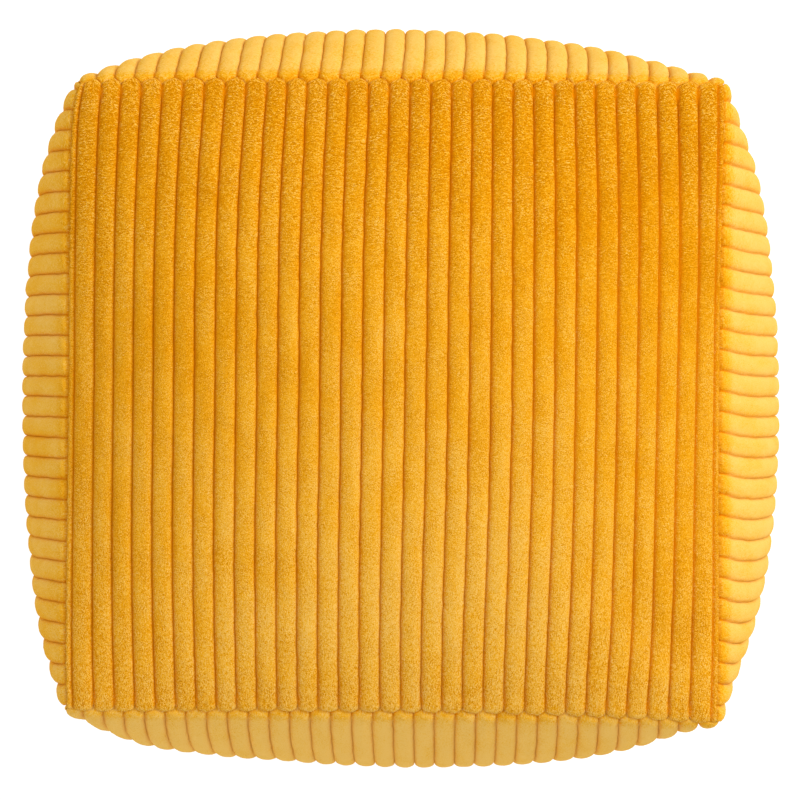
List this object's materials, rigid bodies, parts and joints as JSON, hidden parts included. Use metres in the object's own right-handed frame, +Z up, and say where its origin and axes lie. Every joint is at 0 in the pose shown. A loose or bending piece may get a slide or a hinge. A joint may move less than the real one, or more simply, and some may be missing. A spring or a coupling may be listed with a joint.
{
  "type": "cord footstool",
  "caption": "Square filled footstool in wide-ribbed cord, with a crowned top, swelling sides and a flat base.",
  "frame": {"origin": "the middle of the flat underside, on the floor", "axes": "+Z up; the top panel's ribs run along Y; +X is to the right and +Y to the back, which is up in the picture"},
  "size_m": [0.4908, 0.4822, 0.3986],
  "materials": {
    "cord": "wide-ribbed plush cord in mustard yellow, soft sheen on the pile",
    "base_cloth": "plain closely woven cloth in the same yellow, matt"
  },
  "bodies": {
    "root": {"top_panel": "cord", "side_panel_front": "cord", "side_panel_right": "cord", "side_panel_back": "cord", "side_panel_left": "cord", "base_panel": "base_cloth"}
  },
  "joints": []
}
